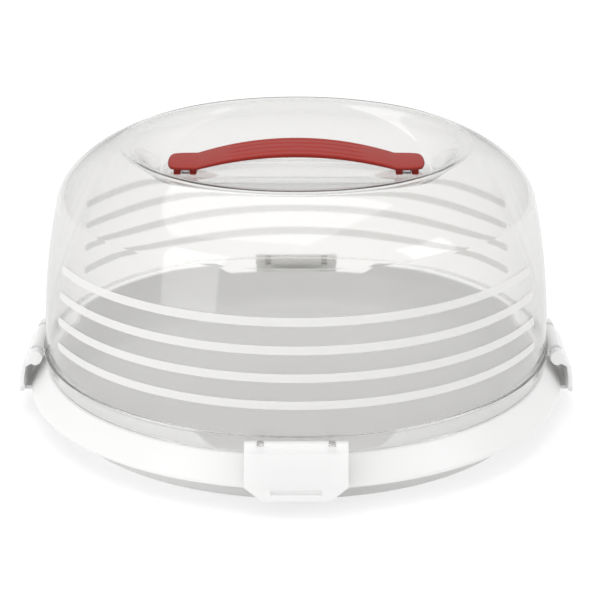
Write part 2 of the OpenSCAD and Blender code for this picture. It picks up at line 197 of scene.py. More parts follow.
def put_mesh(name, points, faces, material):
    """An object whose mesh holds points, an array of corners, and faces, a list of arrays
    with one row of corner numbers for each face."""
    points = np.asarray(points, float).reshape(-1, 3)
    mesh = bpy.data.meshes.new(name)
    mesh.vertices.add(len(points))
    mesh.vertices.foreach_set("co", points.astype(np.float32).ravel())
    corners = np.concatenate([f.ravel() for f in faces]).astype(np.int32)
    counts = np.concatenate([np.full(len(f), f.shape[1]) for f in faces]).astype(np.int32)
    mesh.loops.add(len(corners))
    mesh.loops.foreach_set("vertex_index", corners)
    mesh.polygons.add(len(counts))
    mesh.polygons.foreach_set("loop_start", np.cumsum(counts) - counts)
    mesh.polygons.foreach_set("loop_total", counts)
    mesh.update(calc_edges=True)
    if mesh.validate():
        raise RuntimeError(f"{name}: the mesh had faults")
    mesh.polygons.foreach_set("use_smooth", np.ones(len(counts), bool))
    mesh.materials.append(material)
    piece = bpy.data.objects.new(name, mesh)
    bpy.context.scene.collection.objects.link(piece)
    return piece


def grid_faces(rows, columns):
    """Four-cornered faces of a grid stored row by row, whose last column joins the first.
    Each face runs from a row to the next and then along, so a grid whose rows run outward
    and whose columns run anticlockwise faces up."""
    i = np.arange(rows - 1)[:, None]
    j = np.arange(columns)[None, :]
    k = (j + 1) % columns
    return np.stack([i * columns + j, (i + 1) * columns + j,
                     (i + 1) * columns + k, i * columns + k], -1).reshape(-1, 4)


def closed_shell(rings, first, last):
    """Corners and faces of a tube of rings (stations, columns, 3) whose ends close in a
    fan to the points first and last."""
    stations, columns = rings.shape[:2]
    count = stations * columns
    j = np.arange(columns)
    k = (j + 1) % columns
    end = count - columns
    faces = [grid_faces(stations, columns),
             np.stack([np.full(columns, count), j, k], -1),
             np.stack([end + j, np.full(columns, count + 1), end + k], -1)]
    return np.vstack([rings.reshape(-1, 3), first, last]), faces


def joined(shells):
    """Corners and faces of several shells together."""
    points, faces, start = [], [], 0
    for shell_points, shell_faces in shells:
        points.append(shell_points)
        faces += [f + start for f in shell_faces]
        start += len(shell_points)
    return np.vstack(points), faces


def round_path(points, radii, steps=5):
    """Path with round corners. Each inner corner becomes the arc through its two tangent
    points: the rational curve weighted by the sine of half the corner's angle. An arc
    takes less than half of the sides that it joins."""
    side_share = 0.48
    p = np.asarray(points, float)
    here = p[1:-1]
    back, ahead = p[:-2] - here, p[2:] - here
    back_length = np.linalg.norm(back, axis=-1, keepdims=True)
    ahead_length = np.linalg.norm(ahead, axis=-1, keepdims=True)
    back, ahead = back / back_length, ahead / ahead_length
    half = 0.5 * np.arccos(np.clip((back * ahead).sum(-1, keepdims=True), -1, 1))
    reach = np.asarray(radii, float)[:, None] / np.tan(half)
    reach = np.minimum(reach, side_share * np.minimum(back_length, ahead_length))
    t = np.linspace(0, 1, steps + 1)[None, :, None]
    weight = 2 * t * (1 - t) * np.sin(half)[:, None]
    a, b, c = (here + back * reach)[:, None], here[:, None], (here + ahead * reach)[:, None]
    arcs = ((1 - t) ** 2 * a + weight * b + t ** 2 * c) / ((1 - t) ** 2 + weight + t ** 2)
    return np.concatenate([p[:1], arcs.reshape(-1, 2), p[-1:]])


def bezier(a, b, c, d, steps):
    """Points of the cubic curve from a to d with handles b and c."""
    t = np.linspace(0, 1, steps + 1)[:, None]
    s = 1 - t
    return (s ** 3 * np.array(a) + 3 * s ** 2 * t * np.array(b)
            + 3 * s * t ** 2 * np.array(c) + t ** 3 * np.array(d))


def turned(radius, height, columns):
    """Corners and faces of a turned solid. radius and height are (stations,) or
    (stations, columns), the path starts on the axis, runs over the outside and ends on
    the axis, and column j stands at 2 pi j / columns."""
    radius = np.broadcast_to(np.asarray(radius).reshape(len(radius), -1), (len(radius), columns))
    height = np.broadcast_to(np.asarray(height).reshape(len(height), -1), (len(height), columns))
    turn = 2 * np.pi * np.arange(columns) / columns
    rings = np.stack([radius * np.cos(turn), radius * np.sin(turn), height], -1)[1:-1]
    return closed_shell(rings, [0, 0, height[0, 0]], [0, 0, height[-1, 0]])


def round_block(low, high, radius, arc=4):
    """Corners and faces of a block with round edges: the corner of the inner block in
    the direction of a ball's normal, plus the radius times that normal."""
    low, high = np.array(low, float), np.array(high, float)
    turn = (np.arange(4 * arc) + 0.5) * 2 * np.pi / (4 * arc)
    lift = (np.arange(2 * arc) + 0.5) * np.pi / (2 * arc) - np.pi / 2
    lift, turn = np.meshgrid(-lift, turn, indexing="ij")
    normal = np.stack([np.cos(lift) * np.cos(turn), np.cos(lift) * np.sin(turn),
                       np.sin(lift)], -1)
    centre, half = (low + high) / 2, (high - low) / 2
    rings = centre + np.sign(normal) * (half - radius) + radius * normal
    return closed_shell(rings, centre + [0, 0, half[2]], centre - [0, 0, half[2]])


def round_rod(x, z, half, radius, columns=20):
    """Corners and faces of a rod along X in the middle plane, with its middle at x and z
    and slightly narrower ends."""
    turn = 2 * np.pi * np.arange(columns) / columns
    chamfer = 0.15 * radius
    place = x + np.array([-half, chamfer - half, half - chamfer, half])
    r = radius - np.array([chamfer, 0, 0, chamfer])
    rings = np.stack([np.broadcast_to(place[:, None], (4, columns)),
                      r[:, None] * np.cos(turn), z + r[:, None] * np.sin(turn)], -1)
    return closed_shell(rings[:, ::-1], [place[0], 0, z], [place[-1], 0, z])


def turn_about_z(points, quarter):
    """Points turned by a number of quarter turns about Z."""
    x, y, z = np.asarray(points, float).T
    for _ in range(quarter % 4):
        x, y = -y, x
    return np.stack([x, y, z], -1)


def finish_piece(piece, body, slot, *nodes):
    """Puts a piece on its body and hides the CAD nodes that it stands for; slot is not used."""
    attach(piece, body)
    if nodes:
        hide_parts(*nodes)


def soften(piece, width=0.0):
    """Rounds the sharp edges by width, if any, and weights the normals by face area."""
    sharp = 35
    if width:
        bevel = piece.modifiers.new("Round edges", "BEVEL")
        bevel.width = width
        bevel.segments = 3
        bevel.limit_method = "ANGLE"
        bevel.angle_limit = math.radians(sharp)
    weighted = piece.modifiers.new("Even normals", "WEIGHTED_NORMAL")
    weighted.keep_sharp = True


# Materials

def new_node(tree, kind, **inputs):
    """A node of the given kind, with values for its sockets by name."""
    node = tree.nodes.new(kind)
    for key, value in inputs.items():
        node.inputs[key.replace("_", " ")].default_value = value
    return node


def moulded_group():
    """Node group for moulded plastic: a slow tint, a fine roughness and a fine height,
    all noise on Object coordinates."""
    name = "Moulded surface"
    if name in bpy.data.node_groups:
        return bpy.data.node_groups[name]
    group = bpy.data.node_groups.new(name, "ShaderNodeTree")
    sockets = group.interface
    sockets.new_socket("Vector", in_out="INPUT", socket_type="NodeSocketVector")
    for label, value in (("Tint amount", 0.02), ("Roughness", 0.35), ("Roughness amount", 0.06)):
        socket = sockets.new_socket(label, in_out="INPUT", socket_type="NodeSocketFloat")
        socket.default_value = value
    for label in ("Tint", "Roughness", "Height"):
        sockets.new_socket(label, in_out="OUTPUT", socket_type="NodeSocketFloat")
    source = group.nodes.new("NodeGroupInput")
    target = group.nodes.new("NodeGroupOutput")
    slow = new_node(group, "ShaderNodeTexNoise", Scale=14.0, Detail=2.0)
    fine = new_node(group, "ShaderNodeTexNoise", Scale=420.0, Detail=2.0)
    grain = new_node(group, "ShaderNodeTexNoise", Scale=1600.0, Detail=1.0)
    link = group.links.new
    for node in (slow, fine, grain):
        link(source.outputs["Vector"], node.inputs["Vector"])
    tint = group.nodes.new("ShaderNodeMath")
    tint.operation = "MULTIPLY_ADD"
    link(slow.outputs["Fac"], tint.inputs[0])
    link(source.outputs["Tint amount"], tint.inputs[1])
    tint.inputs[2].default_value = 0.98
    rough = group.nodes.new("ShaderNodeMath")
    rough.operation = "MULTIPLY_ADD"
    link(fine.outputs["Fac"], rough.inputs[0])
    link(source.outputs["Roughness amount"], rough.inputs[1])
    link(source.outputs["Roughness"], rough.inputs[2])
    link(tint.outputs[0], target.inputs["Tint"])
    link(rough.outputs[0], target.inputs["Roughness"])
    link(grain.outputs["Fac"], target.inputs["Height"])
    return group


def plastic(name, colour, roughness, roughness_amount=0.06, bump=0.05, subsurface=0.0):
    """Solid moulded plastic: the moulded group drives its tint, roughness and height."""
    grain_depth = 0.0002
    material = bpy.data.materials.new(name)
    material.use_nodes = True
    tree = material.node_tree
    shader = tree.nodes["Principled BSDF"]
    place = tree.nodes.new("ShaderNodeTexCoord")
    group = tree.nodes.new("ShaderNodeGroup")
    group.node_tree = moulded_group()
    group.inputs["Roughness"].default_value = roughness
    group.inputs["Roughness amount"].default_value = roughness_amount
    tinted = new_node(tree, "ShaderNodeVectorMath")
    tinted.operation = "SCALE"
    tinted.inputs[0].default_value = colour
    lift = new_node(tree, "ShaderNodeBump", Strength=bump, Distance=grain_depth)
    link = tree.links.new
    link(place.outputs["Object"], group.inputs["Vector"])
    link(group.outputs["Tint"], tinted.inputs["Scale"])
    link(tinted.outputs["Vector"], shader.inputs["Base Color"])
    link(group.outputs["Roughness"], shader.inputs["Roughness"])
    link(group.outputs["Height"], lift.inputs["Height"])
    link(lift.outputs["Normal"], shader.inputs["Normal"])
    shader.inputs["IOR"].default_value = 1.49
    shader.inputs["Subsurface Weight"].default_value = subsurface
    shader.inputs["Subsurface Radius"].default_value = (0.004, 0.004, 0.0038)
    shader.inputs["Subsurface Scale"].default_value = 1.0
    return material


def clear_plastic(colours):
    """Clear plastic: a smooth refracting shader that lets the studio light through to
    what lies under it. Its colour holds painted shade: it is darker where it is seen along
    its surface, more so towards its foot, standing in for the lid's dark rim lines. A collar and
    a flange lie close together, so they shade less."""
    painted_shade_low_z, painted_shade_high_z = 0.06, 0.14
    collar_top, wall_start = 0.0425, 0.0465
    material = bpy.data.materials.new("Clear plastic")
    material.use_nodes = True
    tree = material.node_tree
    shader = tree.nodes["Principled BSDF"]
    out = tree.nodes["Material Output"]
    place = tree.nodes.new("ShaderNodeTexCoord")
    split = tree.nodes.new("ShaderNodeSeparateXYZ")
    height = tree.nodes.new("ShaderNodeMapRange")
    height.inputs["From Min"].default_value = painted_shade_low_z
    height.inputs["From Max"].default_value = painted_shade_high_z
    # Painted shade: the colour seen along the lid's surface eases from the darker foot to the
    # shoulder.
    edge = tree.nodes.new("ShaderNodeMix")
    edge.data_type = "RGBA"
    edge.inputs["A"].default_value = (*colours.clear_foot_painted_shade, 1)
    edge.inputs["B"].default_value = (*colours.clear_edge_painted_shade, 1)
    facing = new_node(tree, "ShaderNodeLayerWeight", Blend=0.3)
    depth = tree.nodes.new("ShaderNodeMix")
    depth.data_type = "RGBA"
    depth.inputs["A"].default_value = (*colours.clear, 1)
    shader.inputs["Roughness"].default_value = 0.04
    shader.inputs["IOR"].default_value = 1.46
    shader.inputs["Transmission Weight"].default_value = 1.0
    path = tree.nodes.new("ShaderNodeLightPath")
    either = tree.nodes.new("ShaderNodeMath")
    either.operation = "MAXIMUM"
    through = tree.nodes.new("ShaderNodeBsdfTransparent")
    shade = tree.nodes.new("ShaderNodeMapRange")
    shade.inputs["From Min"].default_value = collar_top
    shade.inputs["From Max"].default_value = wall_start
    shade.inputs["To Min"].default_value = colours.collar_shade
    shade.inputs["To Max"].default_value = colours.lid_shade
    blend = tree.nodes.new("ShaderNodeMixShader")
    link = tree.links.new
    link(place.outputs["Object"], split.inputs["Vector"])
    link(split.outputs["Z"], height.inputs["Value"])
    link(split.outputs["Z"], shade.inputs["Value"])
    link(shade.outputs["Result"], through.inputs["Color"])
    link(height.outputs["Result"], edge.inputs["Factor"])
    link(edge.outputs["Result"], depth.inputs["B"])
    link(facing.outputs["Facing"], depth.inputs["Factor"])
    link(depth.outputs["Result"], shader.inputs["Base Color"])
    link(path.outputs["Is Shadow Ray"], either.inputs[0])
    link(path.outputs["Is Diffuse Ray"], either.inputs[1])
    link(either.outputs[0], blend.inputs["Fac"])
    link(shader.outputs[0], blend.inputs[1])
    link(through.outputs[0], blend.inputs[2])
    link(blend.outputs[0], out.inputs["Surface"])
    return material


def frosted_plastic(colours):
    """Frosted bands: a pale rough skin that hides part of what lies behind it. The bands at the
    back hide less, painted light that stands in for the light coming through them from behind.
    The change lies near the middle plane, which no band crosses."""
    change = 0.05
    material = plastic("Frosted plastic", colours.frost, 0.5, bump=0.2)
    tree = material.node_tree
    place = tree.nodes.new("ShaderNodeTexCoord")
    split = tree.nodes.new("ShaderNodeSeparateXYZ")
    # Painted light: the cover falls from front to back, so the back bands read lighter as if lit
    # from behind.
    cover = tree.nodes.new("ShaderNodeMapRange")
    cover.inputs["From Min"].default_value = -change
    cover.inputs["From Max"].default_value = change
    cover.inputs["To Min"].default_value = colours.front_cover
    cover.inputs["To Max"].default_value = colours.painted_backlight_cover
    link = tree.links.new
    link(place.outputs["Object"], split.inputs["Vector"])
    link(split.outputs["Y"], cover.inputs["Value"])
    link(cover.outputs["Result"], tree.nodes["Principled BSDF"].inputs["Alpha"])
    return material


def named_material(name, build):
    """The material of that name, built if it isn't there yet."""
    return bpy.data.materials.get(name) or build()


def white_plastic(context):
    """White plastic of the tray."""
    colours = context.scene.cake_carrier_colours
    return named_material("White plastic",
                          lambda: plastic("White plastic", colours.white, 0.30))


def clip_plastic(context):
    """White plastic of the clips, thin enough to let some light through."""
    colours = context.scene.cake_carrier_colours
    return named_material("Clip plastic",
                          lambda: plastic("Clip plastic", colours.white, 0.30, subsurface=0.5))


def lid_plastic(context):
    """Clear plastic of the lid."""
    return named_material("Clear plastic",
                          lambda: clear_plastic(context.scene.cake_carrier_colours))


# Tray

class CAKECARRIER_OT_base_tray(bpy.types.Operator):
    """Build the white tray with its raised rim, dips, ledge, skirt and foot ring"""
    bl_idname = "cake_carrier.base_tray"
    bl_label = "Tray"

    def execute(self, context):
        """The tray is turned from a path of corners, each with its radius. The rim's
        height above the ledge is scaled at each angle, so that it dips behind each clip."""
        s = context.scene.cake_carrier_tray
        columns = 480
        inner = s.rim_radius - s.wall
        rim_z = s.shoulder_z + s.rim_height
        skirt_in = s.skirt_radius - s.skirt_wall
        ledge_under = s.shoulder_z - s.ledge_wall
        corners = np.array([
            [0, s.floor_z, 0], [s.foot_radius - s.wall - 0.0003, s.floor_z, s.corner],
            [inner, s.shoulder_z, 0.02], [inner, rim_z, 0.0009],
            [s.rim_radius, rim_z, 0.0009], [s.rim_radius, s.shoulder_z, 0.0006],
            [s.ledge_radius, s.shoulder_z, 0.0015],
            [s.skirt_radius, s.skirt_z + s.skirt_lip, 0.003],
            [s.skirt_radius, s.skirt_z, 0.0008], [skirt_in, s.skirt_z, 0.0008],
            [skirt_in, s.skirt_z + s.lip_inside, 0.002],
            [s.ledge_radius - 0.001, ledge_under, 0.002],
            [s.rim_radius - 0.0004, ledge_under, 0.0015],
            [s.foot_radius + 0.0005, s.floor_z - 0.0002, 0.001],
            [s.foot_radius, 0.0046, 0.0004],
            [s.foot_radius, 0, 0.0008], [s.foot_radius - s.foot_width, 0, 0.0008],
            [s.foot_radius - s.foot_width, s.under_z, 0.0006], [0, s.under_z, 0]])
        path = round_path(corners[:, :2], corners[1:-1, 2])
        radius, height = path[:, :1], path[:, 1:]
        turn = 2 * np.pi * np.arange(columns) / columns
        quarter = (turn + np.pi / 4) % (np.pi / 2) - np.pi / 4
        aside = np.abs(s.rim_radius * np.sin(quarter))
        dip = np.clip((s.dip_width / 2 + s.dip_slope - aside) / s.dip_slope, 0, 1)
        dip = dip * dip * (3 - 2 * dip)
        on_rim = (radius < s.rim_radius + 1e-5) & (height > s.shoulder_z)
        keep = 1 - on_rim * dip * s.dip_depth / s.rim_height
        height = s.shoulder_z + (height - s.shoulder_z) * np.where(on_rim, keep, 1)
        points, faces = turned(radius, height, columns)
        tray = put_mesh("tray", points, faces, white_plastic(context))
        soften(tray)
        finish_piece(tray, "base", "white_plastic", "base_tray")
        return {"FINISHED"}


# Lid

def wall_radius(s, z):
    """Outer radius of the lid wall at a height: it leans in with the height squared."""
    return s.wall_radius - s.bow * (z - s.wall_z) ** 2


def shoulder_path(s, inset):
    """Path of the shoulder from the crest out to the wall, a cubic curve, set in by a
    distance."""
    turn = wall_radius(s, s.turn_z) - inset
    lean = 2 * s.bow * (s.turn_z - s.wall_z)
    top = s.top_z - inset
    return bezier([s.crest_radius, top], [s.crest_radius + s.shoulder_reach, top],
                  [turn - s.shoulder_rise * lean, s.turn_z + s.shoulder_rise - inset],
                  [turn, s.turn_z], 44)


def smooth_max(a, b, blend):
    """The larger of two heights, with the corner where they cross made round."""
    near = np.clip(blend - np.abs(a - b), 0, None)
    return np.maximum(a, b) + near ** 2 / (4 * blend)


def well_arc(s):
    """Radius of the two long arcs that bound the floor of the well, and the distance of
    their centres from the middle."""
    end = s.well_length / 2
    arc = (end ** 2 + s.well_bow ** 2) / (2 * s.well_bow)
    return arc, arc - s.well_width / 2


def well_edge(s, turn):
    """Distance of the edge of the well's floor from the middle, in each direction: the
    smaller of the end circle and the long side arc, with the corner between them round."""
    corner = 0.012
    arc, centre = well_arc(s)
    up = centre * np.abs(np.sin(turn))
    side = -up + np.sqrt(up ** 2 + arc ** 2 - centre ** 2)
    return -smooth_max(-side, -s.well_length / 2, corner)


def top_height(s, x, y, inset):
    """Height of the lid's top inside the shoulder. The well is the highest of its flat
    floor, its steep turned ends and its two long sides, which slope up evenly from the
    arcs. The crest is the lower of that and the shoulder. The corners between ends and
    sides, at the floor and along the crest are round."""
    meet, foot, crest = 0.004, 0.0007, 0.0022
    radius = np.hypot(x, y)
    floor = s.well_z - inset
    top = s.top_z - inset
    half = s.well_length / 2
    rim = s.crest_radius - s.crest_width
    end = bezier([half, floor], [half + s.end_foot, floor],
                 [rim - s.end_reach, top - s.end_drop], [rim, top], 40)
    end = np.vstack([end, [rim + s.end_reach, top + s.end_drop]])
    shift = 0.4 * inset
    bowl = np.interp(radius - shift, end[:, 0], end[:, 1])
    arc, centre = well_arc(s)
    out = np.hypot(x, np.abs(y) + centre) - arc
    side = floor + out * (top - floor) / (rim - s.well_width / 2)
    well = smooth_max(smooth_max(bowl, side, meet), floor, foot)
    path = shoulder_path(s, inset)
    crown = np.interp(radius, path[:, 0], path[:, 1])
    return -smooth_max(-well, -crown, crest)


def lid_top(s, turn, inset, far):
    """Radius and height from the middle of the well out to radius far. The stations on
    the floor and close together across its edge follow the edge, and the outer ones run
    out to a circle."""
    before, across = 0.004, 0.010
    inner = well_edge(s, turn) - before
    outer = inner + across
    radius = np.vstack([inner * np.linspace(0, 1, 6)[:-1, None],
                        inner + across * np.linspace(0, 1, 13)[:, None],
                        outer + (far - outer) * np.linspace(0, 1, 49)[1:, None]])
    return radius, top_height(s, radius * np.cos(turn), radius * np.sin(turn), inset)


def outer_side(s, inset, far):
    """Path from radius far on the shoulder down to the foot of the wall."""
    clear = 0.0006
    path = shoulder_path(s, inset)
    shoulder = path[path[:, 0] > far + clear]
    z = np.linspace(s.turn_z, s.wall_z, 17)[1:-1]
    wall = np.stack([wall_radius(s, z) - inset, z], -1)
    return np.vstack([shoulder, wall])


class CAKECARRIER_OT_lid_shell(bpy.types.Operator):
    """Build the clear lid: handle well, crest, shoulder, wall, flange and collar"""
    bl_idname = "cake_carrier.lid_shell"
    bl_label = "Lid"

    def execute(self, context):
        """The lid is one turned shell. Its stations follow the edge of the well's floor
        near the middle, and from the shoulder outward they are circles."""
        s = context.scene.cake_carrier_lid
        columns = 432
        turn = 2 * np.pi * np.arange(columns) / columns
        past_crest = 0.006
        far = s.crest_radius + past_crest
        collar = s.wall_radius - s.collar_in
        flange = s.wall_radius + s.flange_out
        top = lid_top(s, turn, 0, far)
        under = lid_top(s, turn, s.wall, far)
        outside = outer_side(s, 0, far)
        inside = outer_side(s, s.wall, far)[::-1]
        corners = np.array([
            [s.wall_radius, s.wall_z, 0.0003], [flange, s.wall_z, 0.0004],
            [flange, s.flange_z, 0.0005], [collar, s.flange_z, 0.0003],
            [collar, s.foot_z, 0.0006], [collar - s.wall, s.foot_z, 0.0006],
            [collar - s.wall, s.flange_z, 0.0008],
            [s.wall_radius - s.wall, s.wall_z, 0.0008]])
        ends = np.vstack([outside[-1:], corners[:, :2], inside[:1]])
        foot = round_path(ends, corners[:, 2], 4)[1:-1]
        circles = np.vstack([outside, foot, inside])
        circle_r = np.broadcast_to(circles[:, :1], (len(circles), columns))
        circle_z = np.broadcast_to(circles[:, 1:], (len(circles), columns))
        radius = np.concatenate([top[0], circle_r, under[0][::-1]])
        height = np.concatenate([top[1], circle_z, under[1][::-1]])
        points, faces = turned(radius, height, columns)
        lid = put_mesh("lid", points, faces, lid_plastic(context))
        finish_piece(lid, "lid", "clear_plastic", "lid_dome")
        return {"FINISHED"}


class CAKECARRIER_OT_frosted_bands(bpy.types.Operator):
    """Build the frosted bands on the front and back of the lid"""
    bl_idname = "cake_carrier.frosted_bands"
    bl_label = "Frosted bands"

    def execute(self, context):
        """Each band is a flat rounded section, a superellipse, carried round the wall.
        Near its ends the section's height follows a circle, so the ends are round."""
        columns, stations = 20, 120
        s = context.scene.cake_carrier_lid
        half = s.band_height / 2
        end = s.band_angle / 2
        round_end = half / s.wall_radius
        tip = np.sin(np.linspace(0.12, 1, 9) * np.pi / 2)
        inward = 1 - np.sqrt(1 - tip ** 2)
        middle = np.linspace(-end + round_end, end - round_end, stations)[1:-1]
        along = np.concatenate([-end + round_end * inward, middle,
                                (end - round_end * inward)[::-1]])
        scale = np.concatenate([tip, np.ones(len(middle)), tip[::-1]])
        section = 2 * np.pi * np.arange(columns) / columns
        flat_z = np.sign(np.cos(section)) * np.abs(np.cos(section)) ** 0.5
        flat_r = np.sign(np.sin(section)) * np.abs(np.sin(section)) ** 0.7
        lift = s.band_out / 2
        shells = []
        for front in (-1, 1):
            for i in range(s.band_count):
                band_z = s.band_z + i * s.band_pitch
                z = band_z + half * scale[:, None] * flat_z[None, :]
                r = wall_radius(s, z) + s.band_gap + lift * (1 + flat_r[None, :])
                angle = along[:, None] + front * np.pi / 2
                rings = np.stack([r * np.cos(angle), r * np.sin(angle), z], -1)
                tip_r = wall_radius(s, band_z) + s.band_gap + lift
                tips = [[tip_r * np.cos(a + front * np.pi / 2),
                         tip_r * np.sin(a + front * np.pi / 2), band_z] for a in (-end, end)]
                shells.append(closed_shell(rings, *tips))
        points, faces = joined(shells)
        colours = context.scene.cake_carrier_colours
        bands = put_mesh("frosted_bands", points, faces, frosted_plastic(colours))
        finish_piece(bands, "lid", "clear_plastic")
        return {"FINISHED"}


def hinge_lug(h, root):
    """Corners and faces of one hinge lug at the right-hand clip: a plate with a bore.
    In each direction its edge is the larger of its round end and the neck that runs in
    to the collar. root is the distance from the hinge axis to the collar."""
    angle = np.radians(np.linspace(-62, 242, 77))
    neck = np.minimum(h.neck / 2 / np.maximum(np.abs(np.sin(angle)), 1e-6),
                      root / np.maximum(-np.cos(angle), 1e-6))
    edge = np.where(np.cos(angle) < 0, np.maximum(h.lug_radius, neck), h.lug_radius)
    half = h.lug_thick / 2
    reach = np.stack([np.full_like(edge, h.bore), edge, edge, np.full_like(edge, h.bore)], 1)
    side = np.array([-half, -half, half, half])
    points = np.stack([h.axis_radius + reach * np.cos(angle)[:, None],
                       np.broadcast_to(side, reach.shape),
                       h.axis_z + reach * np.sin(angle)[:, None]], -1)
    faces = [grid_faces(len(angle), 4)[:, ::-1],
             np.array([[0, 1, 2, 3]]), np.array([[3, 2, 1, 0]]) + 4 * (len(angle) - 1)]
    return points.reshape(-1, 3), faces


class CAKECARRIER_OT_lid_lugs(bpy.types.Operator):
    """Build the lid's lugs for the clips and for the handle"""
    bl_idname = "cake_carrier.lid_lugs"
    bl_label = "Lid lugs"

    def execute(self, context):
        """Two bored plates for each clip, and a block with round edges in each fork."""
        into_collar, seat = 0.0002, 0.00002
        h = context.scene.cake_carrier_hinges
        s = context.scene.cake_carrier_handle
        lid = context.scene.cake_carrier_lid
        collar = lid.wall_radius - lid.collar_in
        shells = []
        for quarter in range(4):
            for side in (-1, 1):
                place = side * h.lug_place
                near = abs(place) + h.lug_thick / 2
                root = h.axis_radius - math.sqrt(collar ** 2 - near ** 2) - into_collar
                points, faces = hinge_lug(h, root)
                points = turn_about_z(points + [0, place, 0], quarter)
                shells.append((points, faces))
        for side in (-1, 1):
            x = side * s.fork_x
            low = [x - s.lug_width / 2, -s.lug_depth / 2, lid.well_z + seat]
            high = [x + s.lug_width / 2, s.lug_depth / 2, s.pad_z - seat]
            shells.append(round_block(low, high, 0.0005))
        points, faces = joined(shells)
        lugs = put_mesh("lid_lugs", points, faces, lid_plastic(context))
        soften(lugs, 0.0002)
        finish_piece(lugs, "lid", "clear_plastic")
        return {"FINISHED"}


# Handle

def strap_shape(s, x):
    """Half width, top and underside of the strap at each x. The grip's top and underside
    are arcs between flat pads, its sides are long arcs, and the pads end in round
    corners with a slight bulge."""
    half = s.span / 2
    arch = half - s.pad_length
    top_arc = (arch ** 2 + s.rise ** 2) / (2 * s.rise)
    low_rise = s.rise + s.pad_thick - s.grip_thick
    low_arc = (arch ** 2 + low_rise ** 2) / (2 * low_rise)
    on_arch = np.clip(np.abs(x), 0, arch)
    top = s.pad_z + s.pad_thick + s.rise - top_arc + np.sqrt(top_arc ** 2 - on_arch ** 2)
    low = s.pad_z + low_rise - low_arc + np.sqrt(low_arc ** 2 - on_arch ** 2)
    side_arc = (half ** 2 + s.pad_in ** 2) / (2 * s.pad_in)
    width = s.grip_width / 2 - side_arc + np.sqrt(side_arc ** 2 - x ** 2)
    pad = s.grip_width / 2 - s.pad_in
    end_arc = (pad ** 2 + s.pad_bow ** 2) / (2 * s.pad_bow)
    left = np.clip(half - np.abs(x), 0, None)
    bulge = np.sqrt(np.clip(end_arc ** 2 - (end_arc - left) ** 2, 0, None))
    into = np.clip(left / s.pad_corner, 0, 1)
    corner = pad - s.pad_corner * (1 - np.sqrt(1 - (1 - into) ** 2))
    width = np.where(left < s.pad_corner, np.minimum(width, corner), width)
    blend = 0.002
    return -smooth_max(-width, -bulge, blend), top, low


class CAKECARRIER_OT_handle(bpy.types.Operator):
    """Build the red handle with its grooves, pads, forks and snap pins"""
    bl_idname = "cake_carrier.handle"
    bl_label = "Handle"

    def execute(self, context):
        """The strap is a rounded section carried along X. Its top has shallow rounded
        grooves that fade out at their ends."""
        s = context.scene.cake_carrier_handle
        lid = context.scene.cake_carrier_lid
        edge, nose = 0.0011, 0.0012
        crown_rise, groove_spread, fade_length = 0.0005, 0.0011, 0.012
        half = s.span / 2
        middle = np.linspace(-1, 1, 141) * (half - nose)
        tip = half - nose * (1 - np.sin(np.linspace(0.15, 1, 6) * np.pi / 2))
        x = np.concatenate([-tip[::-1], middle[1:-1], tip])
        width, top, low = strap_shape(s, x)
        across = np.linspace(-1, 1, 121)
        quarter = np.linspace(0, np.pi / 2, 7)
        squeeze = np.clip((half - np.abs(x)) / nose, 0, 1)
        inset = edge * (1 - np.sqrt(1 - (1 - squeeze) ** 2))
        least_side, least_flat = 0.00005, 0.0005
        round_edge = np.minimum(edge, (top - low) / 2 - inset - least_side)
        flat = np.maximum(width - inset - round_edge, least_flat)
        upper_z = top - inset - round_edge
        lower_z = low + inset + round_edge
        y_top = flat[:, None] * across[None, :]
        fade = np.clip(0.5 + (s.groove_length - np.abs(x)) / fade_length, 0, 1)
        fade = fade * fade * (3 - 2 * fade)
        places = (np.arange(s.groove_count) - (s.groove_count - 1) / 2) * s.groove_pitch
        groove = np.exp(-(((y_top[..., None] - places) / groove_spread) ** 2)).sum(-1)
        z_top = (top - inset)[:, None] - s.groove_depth * fade[:, None] * groove
        crown = crown_rise * (1 - across ** 2)[None, :] * squeeze[:, None]
        z_top = z_top - crown_rise + crown
        r = round_edge[:, None]
        side_top = upper_z[:, None] - crown_rise + r * np.cos(quarter)
        right_top = np.stack([flat[:, None] + r * np.sin(quarter), side_top], -1)[:, 1:]
        right_low = np.stack([flat[:, None] + r * np.cos(quarter),
                              lower_z[:, None] - r * np.sin(quarter)], -1)
        low_y = flat[:, None] * np.linspace(1, -1, 13)[None, 1:-1]
        bottom = np.stack([low_y, np.broadcast_to((low + inset)[:, None], low_y.shape)], -1)
        left_low = right_low[:, ::-1] * [-1, 1]
        left_top = right_top[:, ::-1] * [-1, 1]
        section = np.concatenate([np.stack([y_top, z_top], -1), right_top, right_low,
                                  bottom, left_low, left_top], 1)
        rings = np.concatenate([np.broadcast_to(x[:, None, None], (*section.shape[:2], 1)),
                                section], -1)
        end_z = (low[0] + top[0] - crown_rise) / 2
        shells = [closed_shell(rings, [-half, 0, end_z], [half, 0, end_z])]
        leg = (s.fork_width - s.lug_width) / 2 - s.gap
        seat, into_pad, leg_edge, pin_inset = 0.00003, 0.0008, 0.0008, 0.001
        axis_z = (lid.well_z + s.pad_z) / 2
        for side in (-1, 1):
            for out in (-1, 1):
                outer = side * s.fork_x + out * s.fork_width / 2
                inner = outer - out * leg
                low_x, high_x = sorted((outer, inner))
                shells.append(round_block([low_x, -s.fork_depth / 2, lid.well_z + seat],
                                          [high_x, s.fork_depth / 2, s.pad_z + into_pad],
                                          leg_edge))
            reach = s.fork_width / 2 - pin_inset
            shells.append(round_rod(side * s.fork_x, axis_z, reach, s.pin_radius))
        points, faces = joined(shells)
        colours = context.scene.cake_carrier_colours
        material = plastic("Red plastic", colours.red, 0.42, 0.08, 0.08)
        shader = material.node_tree.nodes["Principled BSDF"]
        shader.inputs["Specular IOR Level"].default_value = 0.3
        handle = put_mesh("handle_strap", points, faces, material)
        soften(handle)
        finish_piece(handle, "lid", "red_plastic", "handle")
        return {"FINISHED"}


# Clips

